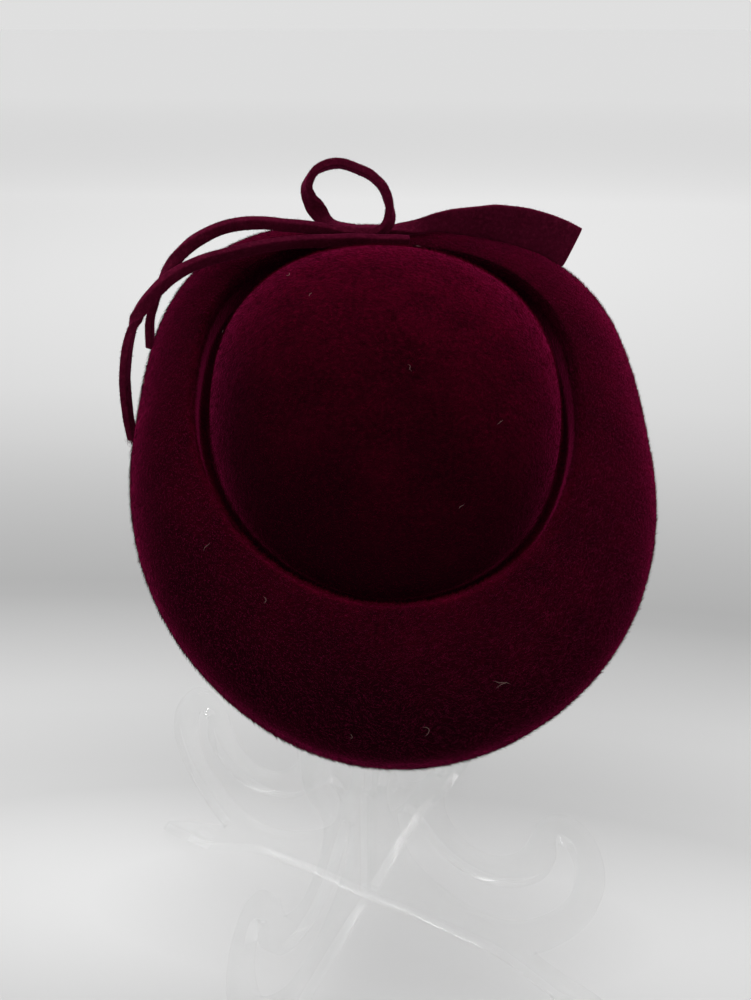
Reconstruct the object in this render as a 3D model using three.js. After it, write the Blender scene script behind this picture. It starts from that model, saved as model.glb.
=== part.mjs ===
// A velour felt pillbox hat with a domed tip sunk inside a rolled crest and a
// tied felt trim at the back, held on a clear stand of two crossing plates.
// Millimetres, +Z up. The front of the hat faces -Y.
import * as THREE from 'three';
import { mergeVertices } from 'three/addons/utils/BufferGeometryUtils.js';

// ---- driving dimensions ----------------------------------------------------

const FELT = 2.4;             // thickness of the blocked felt
const AROUND = 64;            // facets around the hat

const PLATE = 5;              // thickness of the clear stand plates
const LAP_CLEARANCE = 0.35;   // air on each side of a plate in the other's slot
const LAP_HEIGHT = 75;        // where the slots of the two plates meet
const STAND_TURN = 27;        // degrees, clockwise from above, from +X to the first plate

// The hat on its stand: where the centre of its rim is, and how it is turned,
// leaned to its right and tipped forward, in degrees.
const SEAT = { x: 9.6, y: 40.5, z: 204.4, turn: 2.1, lean: 3.2, tip: 31.1 };

// Rings of the hat from the rim to the middle of the tip. Each ring is an oval
// about its own centre (aside, middle), with a half width across, a half length
// to the front and to the back, a height, a rise that lifts the back and lowers
// the front, and an exponent for its back half: 2 is an ellipse, more is squarer.
const RINGS = {
  edge:   { across: 91.5, front: 111.5, back: 107, aside: 0,    middle: 0,    height: 0,    rise: 0,   square: 3.0 },
  widest: { across: 100,  front: 120,   back: 115, aside: 0,    middle: 0,    height: 18,   rise: 0,   square: 3.1 },
  crest:  { across: 75,   front: 89,    back: 75,  aside: -4.5, middle: 13.5, height: 40.4, rise: 3,   square: 2.6 },
  lip:    { across: 72,   front: 86,    back: 73.5, aside: -4.5, middle: 13.5, height: 37,  rise: 2.8, square: 2.8 },
  foot:   { across: 71,   front: 85,    back: 72.4, aside: -4.5, middle: 13.5, height: 29.6, rise: 0.6, square: 2.75 },
  groove: { across: 68.8, front: 82.8,  back: 69,  aside: -4.5, middle: 13.5, height: 26.6, rise: 0,   square: 2.55 },
  tip:    { across: 66.6, front: 80.6,  back: 66,  aside: -4.5, middle: 13.5, height: 29.6, rise: 0,   square: 2.3 },
  dome:   { across: 0,    front: 0,     back: 0,   aside: -4.5, middle: 26,   height: 66,   rise: 0,   square: 2 },
};

// How the felt runs from ring to ring. A quarter arc leaves one ring upright or
// level and meets the next the other way. A power of 2 is a true quarter ellipse
// and more is fuller. A swell makes the arc fuller at the back and leaner at the
// front. The first arc begins part of the way along.
const RUNS = [
  { from: 'edge',   to: 'widest', leaves: 'level',    power: 2,   swell: 0, steps: 4,  begin: 0.25 },
  { from: 'widest', to: 'crest',  leaves: 'upright',  power: 2,   swell: 0, steps: 9,  begin: 0 },
  { from: 'crest',  to: 'lip',    leaves: 'level',    power: 2,   swell: 0, steps: 3,  begin: 0 },
  { from: 'lip',    to: 'foot',   leaves: 'straight', power: 2,   swell: 0, steps: 1,  begin: 0 },
  { from: 'foot',   to: 'groove', leaves: 'upright',  power: 2,   swell: 0, steps: 2,  begin: 0 },
  { from: 'groove', to: 'tip',    leaves: 'level',    power: 2,   swell: 0, steps: 2,  begin: 0 },
  { from: 'tip',    to: 'dome',   leaves: 'upright',  power: 2.4, swell: 1, steps: 10, begin: 0 },
];

// The long felt strip: it hangs at the left, crosses the crest, stands up in a
// loop and widens into the leaf at the right. Each row is a place on its middle
// line, its width, its thickness and the direction (ax, ay, az) of its width.
const LOOPED_STRIP = [
  { x: -103.2, y: 62,  z: 4,    wide: 4.6, thick: 3.2, ax: 0.2,  ay: 1,    az: 0 },
  { x: -101.6, y: 64,  z: 18,   wide: 4.6, thick: 3.2, ax: 0.2,  ay: 1,    az: 0 },
  { x: -98,    y: 67,  z: 28.5, wide: 4.6, thick: 3.2, ax: 0.2,  ay: 1,    az: 0.1 },
  { x: -93.5,  y: 71,  z: 38,   wide: 4.8, thick: 3.2, ax: 0.1,  ay: 1,    az: 0.4 },
  { x: -87,    y: 76,  z: 45,   wide: 4.8, thick: 3.2, ax: 0,    ay: 0.6,  az: 0.8 },
  { x: -79,    y: 81,  z: 49,   wide: 5,   thick: 3.2, ax: 0,    ay: 0.2,  az: 1 },
  { x: -69,    y: 85,  z: 51.6, wide: 5,   thick: 3.2, ax: 0,    ay: 0,    az: 1 },
  { x: -55.5,  y: 87,  z: 52.4, wide: 5,   thick: 3.2, ax: 0,    ay: 0,    az: 1 },
  { x: -42,    y: 88,  z: 50.8, wide: 5,   thick: 3.2, ax: 0,    ay: 0,    az: 1 },
  { x: -30,    y: 89,  z: 48.6, wide: 5,   thick: 3.2, ax: 0,    ay: 0,    az: 1 },
  { x: -19,    y: 89.4, z: 47,  wide: 5,   thick: 3.2, ax: 0,    ay: -0.2, az: 1 },
  { x: -10,    y: 89.6, z: 47.4, wide: 5,  thick: 3.2, ax: -0.3, ay: -0.4, az: 1 },
  { x: -4.6,   y: 91,  z: 52,   wide: 5,   thick: 3.2, ax: -0.8, ay: -0.5, az: 0.8 },
  { x: -4.8,   y: 96,  z: 58,   wide: 5.4, thick: 3.4, ax: 0,    ay: -0.6, az: 0.8 },
  { x: -8.8,   y: 101, z: 63.6, wide: 5.6, thick: 3.4, ax: 0,    ay: -0.6, az: 0.8 },
  { x: -15.5,  y: 104, z: 66.4, wide: 5.6, thick: 3.4, ax: 0,    ay: -0.6, az: 0.8 },
  { x: -23.1,  y: 106, z: 67.6, wide: 5.6, thick: 3.4, ax: 0,    ay: -0.6, az: 0.8 },
  { x: -30,    y: 106, z: 67.2, wide: 5.8, thick: 3.4, ax: 0,    ay: -0.6, az: 0.8 },
  { x: -35.6,  y: 104, z: 64.4, wide: 6,   thick: 3.2, ax: 0.2,  ay: -0.6, az: 0.8 },
  { x: -37.8,  y: 101.5, z: 60, wide: 6.4, thick: 3.2, ax: 0.4,  ay: -0.6, az: 0.8 },
  { x: -36.6,  y: 99.5, z: 54.8, wide: 7.4, thick: 3,  ax: 0.8,  ay: -0.5, az: 0.6 },
  { x: -33,    y: 98,  z: 49.6, wide: 7.6, thick: 2.8, ax: 0.9,  ay: 0.4,  az: 0.2 },
  { x: -28,    y: 95.8, z: 46,  wide: 6.6,   thick: 2.6, ax: 0.4,  ay: 1,    az: -0.4 },
  { x: -20,    y: 95.2, z: 45,  wide: 5.8, thick: 2.4, ax: 0,    ay: 1,    az: -0.5 },
  { x: -11,    y: 95.2, z: 44.9, wide: 5.6, thick: 2.4, ax: 0,    ay: 1,    az: -0.5 },
  { x: -2,     y: 95.6, z: 44.8, wide: 5.8, thick: 2.4, ax: 0,   ay: 1,    az: -0.3 },
  { x: 7,      y: 97.2, z: 45.1, wide: 6, thick: 2.4, ax: 0,    ay: 1,    az: 0.4 },
  { x: 17,     y: 100.2, z: 45.6, wide: 8, thick: 2.4, ax: 0, ay: 0.7,  az: 1 },
  { x: 29,     y: 101.2, z: 46, wide: 11.6, thick: 2.4, ax: 0,   ay: 0.5,  az: 1 },
  { x: 41,     y: 100.8, z: 46.6, wide: 14.2, thick: 2.4, ax: 0,   ay: 0.5,  az: 1 },
  { x: 52,     y: 98,  z: 47.2, wide: 16.2, thick: 2.4, ax: 0,   ay: 0.5,  az: 1 },
  { x: 62,     y: 94,  z: 47.6, wide: 16.2, thick: 2.4, ax: 0.1, ay: 0.5,  az: 1 },
  { x: 72,     y: 87.5, z: 47.6, wide: 16, thick: 2.4, ax: 0.25, ay: 0.5,  az: 0.85 },
];

// The second strip lies in front of the first and hangs down to the rim.
const FRONT_STRIP = [
  { x: -104.4, y: 14,  z: 3,    wide: 4.4, thick: 3.2, ax: 0.3,  ay: 1,    az: 0 },
  { x: -105.4, y: 18,  z: 10,   wide: 4.4, thick: 3.2, ax: 0.3,  ay: 1,    az: 0 },
  { x: -106,   y: 23,  z: 19.4, wide: 4.4, thick: 3.2, ax: 0.3,  ay: 1,    az: 0 },
  { x: -105.6, y: 28.5, z: 28,  wide: 4.6, thick: 3.2, ax: 0.3,  ay: 1,    az: 0 },
  { x: -104,   y: 35,  z: 36,   wide: 4.6, thick: 3.2, ax: 0.3,  ay: 1,    az: 0.2 },
  { x: -100.8, y: 42,  z: 42.6, wide: 4.8, thick: 3.2, ax: 0.2,  ay: 0.8,  az: 0.5 },
  { x: -96,    y: 49.5, z: 46.6, wide: 4.8, thick: 3.2, ax: 0,   ay: 0.5,  az: 0.8 },
  { x: -90.5,  y: 57,  z: 48.4, wide: 5,   thick: 3.2, ax: 0,    ay: 0.2,  az: 1 },
  { x: -83.4,  y: 63.5, z: 49,  wide: 5,   thick: 3.2, ax: 0,    ay: 0,    az: 1 },
  { x: -74.5,  y: 69.5, z: 48.8, wide: 5,  thick: 3.2, ax: 0,    ay: 0,    az: 1 },
  { x: -62,    y: 75.5, z: 48.2, wide: 5,  thick: 3.2, ax: 0,    ay: 0,    az: 1 },
  { x: -48.5,  y: 80.6, z: 47.8, wide: 5,  thick: 3.2, ax: 0,    ay: 0,    az: 1 },
  { x: -32,    y: 83.6, z: 47.6, wide: 5,  thick: 3.2, ax: 0,    ay: 0,    az: 1 },
  { x: -20,    y: 84.6, z: 47.8, wide: 5,  thick: 3.2, ax: 0,    ay: 0,    az: 1 },
  { x: -8,     y: 85,  z: 48,   wide: 5,   thick: 3.2, ax: 0,    ay: 0,    az: 1 },
  { x: 4,      y: 86,  z: 47.6, wide: 4.6, thick: 3,   ax: 0,    ay: 0,    az: 1 },
];

// Right half of a stand plate, as places out from its middle line and up from
// the surface that it stands on.
const PLATE_EDGE = [
  { out: 0,    up: 13 },  { out: 24,   up: 14.5 }, { out: 46,  up: 13.5 }, { out: 62, up: 12 },
  { out: 76,   up: 6.5 }, { out: 90,   up: 0 },
];
const FOOT_END = { out: 117, up: 0 };
const PLATE_ARM = [
  { out: 117,  up: 3 },    { out: 104, up: 9 },    { out: 88,  up: 14 },   { out: 78,  up: 20 },
  { out: 86,   up: 31 },   { out: 96,  up: 47 },   { out: 101.5, up: 64 }, { out: 101, up: 79 },
  { out: 96,   up: 92 },   { out: 88,  up: 99.5 }, { out: 79.5, up: 98.5 }, { out: 73.5, up: 92 },
  { out: 71,   up: 82 },   { out: 67,  up: 72.5 }, { out: 60,  up: 66.5 }, { out: 51,  up: 64.5 },
  { out: 42,   up: 69 },   { out: 35.5, up: 78 },  { out: 34,  up: 88 },   { out: 38,  up: 98 },
  { out: 44,   up: 110 },  { out: 48,  up: 125 },  { out: 47,  up: 143 },  { out: 40,  up: 162 },
  { out: 31,   up: 180 },  { out: 25.5, up: 196 }, { out: 22.5, up: 210 }, { out: 18,  up: 221 },
  { out: 10,   up: 229 },  { out: 0,   up: 231.5 },
];
const ARM_WINDOW = [
  { out: 13,   up: 68 },   { out: 16,  up: 54 },   { out: 23,  up: 43 },   { out: 38,  up: 33.5 },
  { out: 54,   up: 29.5 }, { out: 68,  up: 32.5 }, { out: 81,  up: 44 },   { out: 89,  up: 59 },
  { out: 90.5, up: 76 },   { out: 87,  up: 87 },   { out: 81,  up: 87 },   { out: 82,  up: 76 },
  { out: 78,   up: 66 },   { out: 69,  up: 57.5 }, { out: 57,  up: 53 },   { out: 44,  up: 54.5 },
  { out: 33,   up: 61 },   { out: 24,  up: 71 },   { out: 18,  up: 75 },
];
const UPPER_WINDOW = [
  { out: 11,   up: 92 },   { out: 18,  up: 88 },   { out: 25,  up: 94 },   { out: 32,  up: 110 },
  { out: 36,   up: 126 },  { out: 35,  up: 143 },  { out: 28,  up: 160 },  { out: 19,  up: 176 },
  { out: 12,   up: 186 },  { out: 10,  up: 160 },  { out: 10,  up: 120 },
];

// ---- materials and small helpers --------------------------------------------

const felt = new THREE.MeshStandardMaterial({ color: 0x3a0418, roughness: 1, metalness: 0 });
const trimFelt = new THREE.MeshStandardMaterial({ color: 0x360a1c, roughness: 1, metalness: 0 });
const acrylic = new THREE.MeshStandardMaterial({ color: 0xeef2f3, roughness: 0.05, metalness: 0 });

const radians = THREE.MathUtils.degToRad;
const mix = THREE.MathUtils.lerp;

function piece(name, geometry, material) {
  const mesh = new THREE.Mesh(geometry, material);
  mesh.name = name;
  return mesh;
}

// A closed body from its points and its triangles.
function body(points, triangles) {
  const geometry = new THREE.BufferGeometry();
  geometry.setAttribute('position', new THREE.Float32BufferAttribute(points.flatMap((p) => p.toArray()), 3));
  geometry.setIndex(triangles.flat());
  return mergeVertices(geometry, 1e-4);
}

// ---- the blocked felt body ----------------------------------------------------

// Shares of the way from one ring to the next, outwards and upwards, at an angle
// from 0 to 90 degrees along their quarter arc.
function arcShares(leaves, power, angle) {
  const rising = Math.sin(angle) ** (2 / power);
  const easing = 1 - Math.cos(angle) ** (2 / power);
  if (leaves === 'straight') return { plan: angle / (Math.PI / 2), height: angle / (Math.PI / 2) };
  return leaves === 'level' ? { plan: rising, height: easing } : { plan: easing, height: rising };
}

// The rows of the felt, from the rim to the middle of the tip: each is a run and
// an angle along it.
function feltRows() {
  return RUNS.flatMap((run, n) => {
    const first = n === 0 ? 0 : 1;
    return Array.from({ length: run.steps + 1 - first }, (_, i) => (
      { run, angle: mix(run.begin, Math.PI / 2, (i + first) / run.steps) }
    ));
  });
}

// A point of a row at a turn around the hat. The back half is an oval of the
// row's own exponent and the front half an ellipse.
function onRow(row, turn) {
  const c = Math.cos(turn);
  const s = Math.sin(turn);
  const a = RINGS[row.run.from];
  const b = RINGS[row.run.to];
  const share = arcShares(row.run.leaves, row.run.power + row.run.swell * s, row.angle);
  const plan = (key) => mix(a[key], b[key], share.plan);
  const power = s > 0 ? 2 / plan('square') : 1;
  const long = s > 0 ? plan('back') : plan('front');
  return new THREE.Vector3(
    plan('aside') + plan('across') * Math.sign(c) * Math.abs(c) ** power,
    plan('middle') + long * Math.sign(s) * Math.abs(s) ** power,
    mix(a.height, b.height, share.height) + mix(a.rise, b.rise, share.height) * s,
  );
}

// The felt is the outer face, an inner face one thickness behind it along the
// surface's own normals, and the cut edge that joins the two at the rim.
function hatBody() {
  const rows = feltRows();
  const last = rows.length - 1;
  const outer = rows.map((row) => (
    Array.from({ length: AROUND }, (_, k) => onRow(row, (2 * Math.PI * k) / AROUND))
  ));
  const tip = outer[last][0];
  const at = (i, k) => outer[i][(k + AROUND) % AROUND];
  const inner = outer.slice(0, last).map((ring, i) => ring.map((point, k) => {
    const along = at(i, k + 1).clone().sub(at(i, k - 1));
    const up = at(i + 1, k).clone().sub(at(Math.max(i - 1, 0), k));
    const normal = along.cross(up).normalize();
    return point.clone().addScaledVector(normal, -FELT);
  }));

  const points = [];
  const triangles = [];
  const index = (skin, i, k) => (skin * last + i) * AROUND + (k % AROUND);
  for (const skin of [outer.slice(0, last), inner]) points.push(...skin.flat());
  const poles = [points.length, points.length + 1];
  points.push(tip, tip.clone().setZ(tip.z - FELT));

  for (let k = 0; k < AROUND; k += 1) {
    for (let i = 0; i < last - 1; i += 1) {
      const [a, b, c, d] = [index(0, i, k), index(0, i, k + 1), index(0, i + 1, k + 1), index(0, i + 1, k)];
      triangles.push([a, b, c], [a, c, d]);
      const [e, f, g, h] = [index(1, i, k), index(1, i, k + 1), index(1, i + 1, k + 1), index(1, i + 1, k)];
      triangles.push([e, g, f], [e, h, g]);
    }
    triangles.push([index(0, last - 1, k), index(0, last - 1, k + 1), poles[0]]);
    triangles.push([index(1, last - 1, k + 1), index(1, last - 1, k), poles[1]]);
    triangles.push([index(0, 0, k), index(1, 0, k), index(1, 0, k + 1)]);
    triangles.push([index(0, 0, k), index(1, 0, k + 1), index(0, 0, k + 1)]);
  }
  return body(points, triangles);
}

// ---- the felt strips of the trim ------------------------------------------------

// A flat strip with softened edges, swept along a smooth curve through its rows.
function strip(rows, stepsPerRow) {
  const curve = new THREE.CatmullRomCurve3(rows.map((r) => new THREE.Vector3(r.x, r.y, r.z)), false, 'centripetal');
  const steps = (rows.length - 1) * stepsPerRow;
  const section = [[-1, -0.55], [-0.82, -1], [0.82, -1], [1, -0.55], [1, 0.55], [0.82, 1], [-0.82, 1], [-1, 0.55]];
  const sides = section.length;
  const points = [];
  const triangles = [];
  for (let i = 0; i <= steps; i += 1) {
    const share = i / steps;
    const row = Math.min(Math.floor(i / stepsPerRow), rows.length - 2);
    const a = rows[row];
    const b = rows[row + 1];
    const t = i / stepsPerRow - row;
    const tangent = curve.getTangent(share);
    const width = new THREE.Vector3(mix(a.ax, b.ax, t), mix(a.ay, b.ay, t), mix(a.az, b.az, t));
    width.addScaledVector(tangent, -width.dot(tangent)).normalize();
    const depth = tangent.clone().cross(width);
    for (const [w, d] of section) {
      points.push(curve.getPoint(share)
        .addScaledVector(width, (w * mix(a.wide, b.wide, t)) / 2)
        .addScaledVector(depth, (d * mix(a.thick, b.thick, t)) / 2));
    }
  }
  for (let i = 0; i < steps; i += 1) {
    for (let k = 0; k < sides; k += 1) {
      const [a, b] = [i * sides + k, i * sides + ((k + 1) % sides)];
      triangles.push([a, b, b + sides], [a, b + sides, a + sides]);
    }
  }
  for (let k = 1; k < sides - 1; k += 1) {
    const end = steps * sides;
    triangles.push([0, k + 1, k], [end, end + k, end + k + 1]);
  }
  return body(points, triangles);
}

// ---- the stand ------------------------------------------------------------------

const right = (place) => new THREE.Vector2(place.out, place.up);
const left = (place) => new THREE.Vector2(-place.out, place.up);

// A smooth closed loop through a window's places, on one side of the plate.
function windowLoop(places, side) {
  const loop = new THREE.CatmullRomCurve3(places.map((p) => new THREE.Vector3(side(p).x, side(p).y, 0)), true);
  return new THREE.Path(loop.getPoints(places.length * 2).map((p) => new THREE.Vector2(p.x, p.y)));
}

// One plate: feet, scrolled arms and a rounded head, with its windows, and the
// slot that the other plate passes through, cut from the top or from below.
function plate(slotFromTop) {
  const slot = PLATE / 2 + LAP_CLEARANCE;
  const top = PLATE_ARM[PLATE_ARM.length - 1].up;
  const underside = PLATE_EDGE[0].up;
  const shape = new THREE.Shape();
  const lower = PLATE_EDGE.slice(1);
  const upper = PLATE_ARM.slice(0, -1);
  if (slotFromTop) {
    shape.moveTo(0, underside);
  } else {
    shape.moveTo(slot, underside);
  }
  shape.splineThru(lower.map(right));
  shape.lineTo(FOOT_END.out, FOOT_END.up);
  shape.lineTo(upper[0].out, upper[0].up);
  shape.splineThru(upper.slice(1).map(right));
  if (slotFromTop) {
    shape.lineTo(slot, top - 0.5);
    shape.lineTo(slot, LAP_HEIGHT);
    shape.lineTo(-slot, LAP_HEIGHT);
    shape.lineTo(-slot, top - 0.5);
  } else {
    shape.lineTo(0, top);
  }
  shape.lineTo(-upper[upper.length - 1].out, upper[upper.length - 1].up);
  shape.splineThru(upper.slice(0, -1).reverse().map(left));
  shape.lineTo(-FOOT_END.out, FOOT_END.up);
  shape.lineTo(-lower[lower.length - 1].out, lower[lower.length - 1].up);
  shape.splineThru(lower.slice(0, -1).reverse().map(left));
  if (!slotFromTop) {
    shape.lineTo(-slot, underside);
    shape.lineTo(-slot, LAP_HEIGHT + LAP_CLEARANCE);
    shape.lineTo(slot, LAP_HEIGHT + LAP_CLEARANCE);
  }
  for (const side of [right, left]) {
    shape.holes.push(windowLoop(ARM_WINDOW, side), windowLoop(UPPER_WINDOW, side));
  }
  const geometry = new THREE.ExtrudeGeometry(shape, { depth: PLATE, bevelEnabled: false, curveSegments: 3 });
  geometry.translate(0, 0, -PLATE / 2);
  geometry.rotateX(Math.PI / 2);
  return geometry;
}

// ---- assembly -------------------------------------------------------------------

const hat = new THREE.Group();
hat.add(piece('hat_body', hatBody(), felt));
hat.add(piece('looped_strip', strip(LOOPED_STRIP, 2), trimFelt));
hat.add(piece('front_strip', strip(FRONT_STRIP, 2), trimFelt));
hat.position.set(SEAT.x, SEAT.y, SEAT.z);
hat.rotation.set(radians(SEAT.tip), radians(SEAT.lean), radians(SEAT.turn), 'ZYX');

const stand = new THREE.Group();
const plateAcross = piece('stand_plate_across', plate(true), acrylic);
const plateAlong = piece('stand_plate_along', plate(false), acrylic);
plateAlong.rotation.z = Math.PI / 2;
stand.add(plateAcross, plateAlong);
stand.rotation.z = radians(-STAND_TURN);

// The whole piece stands with the middle of its bounding box above the origin.
const model = new THREE.Group();
model.add(hat, stand);
const bounds = new THREE.Box3().setFromObject(model, true);
model.position.set(-(bounds.min.x + bounds.max.x) / 2, -(bounds.min.y + bounds.max.y) / 2, -bounds.min.z);

export default model;
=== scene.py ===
# %% [markdown]
# # A velour pillbox hat on its clear stand
#
# This lesson rebuilds a small burgundy hat: one piece of blocked felt with a rolled
# crest and a domed tip, tied at the back with two strips of the same felt. A clear
# stand of two crossing plates holds it tipped forward.
#
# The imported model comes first. It fixes where everything is, and each piece made here
# stands in the place of one of its nodes.

# %% Load the fixed frame
from math import radians

import bpy
import numpy as np
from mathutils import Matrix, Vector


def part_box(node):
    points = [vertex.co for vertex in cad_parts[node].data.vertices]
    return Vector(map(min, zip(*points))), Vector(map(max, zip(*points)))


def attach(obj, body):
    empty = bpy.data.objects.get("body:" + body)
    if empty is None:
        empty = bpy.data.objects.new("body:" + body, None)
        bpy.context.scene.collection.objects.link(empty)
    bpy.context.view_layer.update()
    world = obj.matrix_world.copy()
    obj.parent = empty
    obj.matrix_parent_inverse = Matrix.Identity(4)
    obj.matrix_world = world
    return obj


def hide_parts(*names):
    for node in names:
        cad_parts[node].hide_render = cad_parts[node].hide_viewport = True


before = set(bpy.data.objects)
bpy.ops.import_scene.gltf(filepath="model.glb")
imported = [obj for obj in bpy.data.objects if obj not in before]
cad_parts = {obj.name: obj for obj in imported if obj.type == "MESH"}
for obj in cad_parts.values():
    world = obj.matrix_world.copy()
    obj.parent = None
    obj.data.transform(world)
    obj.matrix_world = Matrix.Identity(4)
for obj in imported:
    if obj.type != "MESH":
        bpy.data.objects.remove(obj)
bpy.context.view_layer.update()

MM = 0.001
SEED = 7
plate_low, plate_high = [np.array(corner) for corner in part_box("stand_plate_across")]
stand_axis = (plate_low + plate_high) / 2 / MM * [1, 1, 0]
print("nodes", sorted(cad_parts))
print("stand axis in millimetres", np.round(stand_axis, 1))

# %% [markdown]
# ## How the hat sits
#
# The hat's shape is worked out in a frame of its own, with the middle of its rim at
# the origin and its front towards -Y. Three turns then tip it forward on the stand.
# Writing the seat once keeps the felt, the trim and the nap together.

# %% Seat the hat on the stand
SEAT = np.array([9.6, 40.5, 204.4])
TIP, LEAN, TURN = radians(31.1), radians(3.2), radians(2.1)


def turned(axis, angle):
    """The matrix of a right-handed turn about one axis, 0 for X, 1 for Y and 2 for Z."""
    matrix = np.eye(3)
    a, b = (axis + 1) % 3, (axis + 2) % 3
    matrix[a, a] = matrix[b, b] = np.cos(angle)
    matrix[b, a], matrix[a, b] = np.sin(angle), -np.sin(angle)
    return matrix


seat_turn = turned(2, TURN) @ turned(1, LEAN) @ turned(0, TIP)


def seated(points):
    """Places in the hat's frame, in millimetres, taken to the model's frame in metres."""
    return (points @ seat_turn.T + SEAT + stand_axis) * MM


print("rim centre in metres", np.round(seated(np.zeros(3)), 4))

# %% [markdown]
# ## Numbers for the felt body
#
# A blocker stretches a wet felt cone over a wooden block, so every section of the hat
# is one smooth oval. Eight ovals carry the shape: the cut edge, the widest line, the
# crest, the groove inside it and the tip. Each has its own centre, because the band
# slopes more at the front than at the back, and the back half is squarer than an
# ellipse.

# %% The ovals and the arcs between them
FELT = 2.4
# across, front, back, aside, middle, height, rise, squareness
OVALS = {
    "edge":   (91.5, 111.5, 107,  0,    0,    0,    0,   3.0),
    "widest": (100,  120,   115,  0,    0,    18,   0,   3.1),
    "crest":  (75,   89,    75,   -4.5, 13.5, 40.4, 3,   2.6),
    "lip":    (72,   86,    73.5, -4.5, 13.5, 37,   2.8, 2.8),
    "foot":   (71,   85,    72.4, -4.5, 13.5, 29.6, 0.6, 2.75),
    "groove": (68.8, 82.8,  69,   -4.5, 13.5, 26.6, 0,   2.55),
    "tip":    (66.6, 80.6,  66,   -4.5, 13.5, 29.6, 0,   2.3),
    "dome":   (0,    0,     0,    -4.5, 26,   66,   0,   2),
}
# from, to, the way the felt leaves the first oval, fullness, swell, rows, start
ARCS = [
    ("edge",   "widest", "level",    2,   0, 14, 0.25),
    ("widest", "crest",  "upright",  2,   0, 44, 0),
    ("crest",  "lip",    "level",    2,   0, 10, 0),
    ("lip",    "foot",   "straight", 2,   0, 4,  0),
    ("foot",   "groove", "upright",  2,   0, 6,  0),
    ("groove", "tip",    "level",    2,   0, 6,  0),
    ("tip",    "dome",   "upright",  2.4, 1, 60, 0),
]
AROUND = 440


def shares(leaves, power, angle):
    """How far an arc has gone outwards and upwards at an angle: sine and one less
    cosine of a quarter turn, each raised to two over the power."""
    rising = np.sin(angle) ** (2 / power)
    easing = 1 - np.cos(angle) ** (2 / power)
    if leaves == "straight":
        return angle / (np.pi / 2), angle / (np.pi / 2)
    return (rising, easing) if leaves == "level" else (easing, rising)


def felt_rows():
    """An arc and an angle along it for every row of the skin, from the cut edge to the
    middle of the tip."""
    rows = []
    for arc in ARCS:
        rows += [(arc, climb) for climb in np.linspace(arc[6], np.pi / 2, arc[5] + 1)[1 if rows else 0:]]
    return rows


def skin(rows, angle):
    """Points of the rows at angles around the hat: an ellipse at the front, and at the
    back the cosine and sine raised to two over the row's squareness. A swell makes
    an arc fuller at the back and leaner at the front."""
    c, s = np.cos(angle), np.sin(angle)
    grid = []
    for (start, end, leaves, fullness, swell, _, _), climb in rows:
        a, b = np.array(OVALS[start], float), np.array(OVALS[end], float)
        plan, height = shares(leaves, fullness + swell * s, climb + 0 * angle)
        across, front, back, aside, middle, _, _, square = (a + (b - a) * plan[:, None]).T
        power = np.where(s > 0, 2 / square, 1.0)
        x = aside + across * np.sign(c) * np.abs(c) ** power
        y = middle + np.where(s > 0, back, front) * np.sign(s) * np.abs(s) ** power
        z = a[5] + (b[5] - a[5]) * height + (a[6] + (b[6] - a[6]) * height) * s
        grid.append(np.stack([x, y, z], -1))
    return np.array(grid)


def even_angles(count):
    """Angles that put equal steps of length along the widest oval."""
    dense = np.linspace(-np.pi, np.pi, 7201)
    line = skin([(ARCS[0], np.pi / 2)], dense)[0]
    run = np.concatenate([[0], np.linalg.norm(np.diff(line, axis=0), axis=1).cumsum()])
    return np.interp(np.arange(count) / count * run[-1], run, dense)


rows = felt_rows()
angles = even_angles(AROUND)
outer = skin(rows, angles)
print("skin rows", len(rows), "columns", AROUND)

# %% [markdown]
# ## Hand-worked felt
#
# Blocked felt is never quite true: a thumb's width here and there it swells or sinks
# by a few tenths of a millimetre. A few long, low waves around and up the hat give
# that. They are added along the skin's own normals, so the outline keeps its size to
# about half a millimetre.

# %% Normals and the slow unevenness
def across_grid(points, closed=True):
    """Steps of a grid around and along it, as central differences."""
    around = np.roll(points, -1, 1) - np.roll(points, 1, 1)
    if not closed:
        around = np.gradient(points, axis=1)
    return around, np.gradient(points, axis=0)


def unit(vectors):
    """Vectors brought to a length of one."""
    return vectors / np.maximum(np.linalg.norm(vectors, axis=-1, keepdims=True), 1e-9)


def normals_of(points):
    """The cross product of a grid's two steps, with the pole's taken straight up."""
    around, along = across_grid(points)
    normals = unit(np.cross(around, along))
    normals[-1] = (0, 0, 1)
    return normals


def unevenness(row_count, angle, seed, height):
    """A sum of low waves around the hat and along its profile."""
    random = np.random.default_rng(seed)
    along = np.linspace(0, 1, row_count)[:, None]
    total = np.zeros((row_count, len(angle)))
    for _ in range(14):
        turns, climbs = random.integers(1, 9), random.uniform(0.5, 5)
        phase, size = random.uniform(0, 2 * np.pi, 2), random.uniform(0.3, 1)
        total += size * np.sin(turns * angle + phase[0]) * np.sin(2 * np.pi * climbs * along + phase[1])
    fade = np.clip((1 - along) * 8, 0, 1)
    return height * fade * total / np.abs(total).max()


UNEVEN = 0.55
outer = outer + normals_of(outer) * unevenness(len(rows), angles, SEED, UNEVEN)[..., None]
outer[-1] = outer[-1].mean(0)
outer_normals = normals_of(outer)
print("highest point of the tip", round(float(outer[..., 2].max()), 2))

# %% [markdown]
# ## One mesh maker for every surface
#
# Each surface below is a grid of points with rows and columns. Around the columns it
# closes on itself, and its two ends close to a point. Quads join neighbouring points,
# and a fan of triangles closes each end.

# %% Put a grid into a mesh
def new_piece(name, points, faces):
    """An object at the origin whose mesh holds the given places, in metres."""
    mesh = bpy.data.meshes.new(name)
    mesh.from_pydata(points, [], faces)
    mesh.polygons.foreach_set("use_smooth", np.ones(len(mesh.polygons), bool))
    piece = bpy.data.objects.new(name, mesh)
    bpy.context.scene.collection.objects.link(piece)
    mesh.update()
    return piece


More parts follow.
